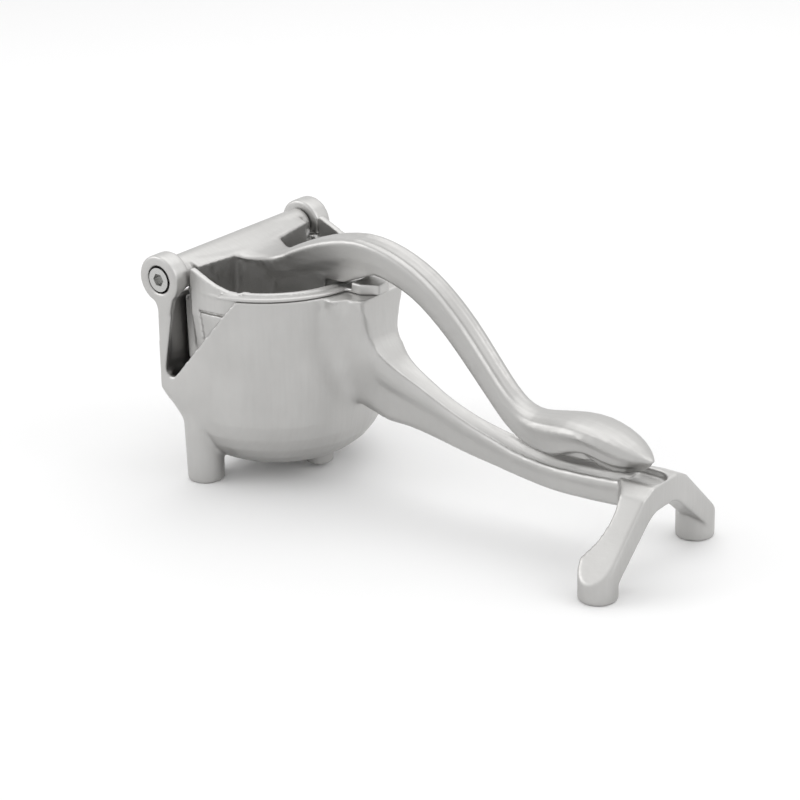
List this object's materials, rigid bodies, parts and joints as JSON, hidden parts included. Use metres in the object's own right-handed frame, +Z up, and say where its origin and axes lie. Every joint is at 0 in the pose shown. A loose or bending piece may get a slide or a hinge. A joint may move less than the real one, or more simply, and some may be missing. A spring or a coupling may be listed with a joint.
{
  "type": "manual citrus juicer",
  "caption": "Cast aluminium lever press juicer: footed bowl with two side spouts and a long arm, perforated filter basket, and a press lever on a steel hinge shaft.",
  "frame": {"origin": "on the ground, under the middle of the overall box", "axes": "+X from the hinge to the handle end, +Y across along the hinge axis, +Z up"},
  "size_m": [0.23, 0.1, 0.11],
  "materials": {
    "cast_body": "satin, brushed casting",
    "cast_basket": "satin casting with a ground lip",
    "cast_lever": "satin, brushed casting with a polished back",
    "shaft_steel": "turned",
    "screw_steel": "turned"
  },
  "bodies": {
    "frame": {"body_casting": "cast_body", "filter_basket": "cast_basket", "hinge_shaft": "shaft_steel", "hinge_screws": "screw_steel"},
    "lever": {"press_lever": "cast_lever"}
  },
  "joints": [
    {"name": "lever_hinge", "type": "hinge", "parent": "frame", "child": "lever", "pos_m": [-0.1045, 0, 0.091], "axis": [0, -1, 0], "range_deg": [0, 110]}
  ]
}
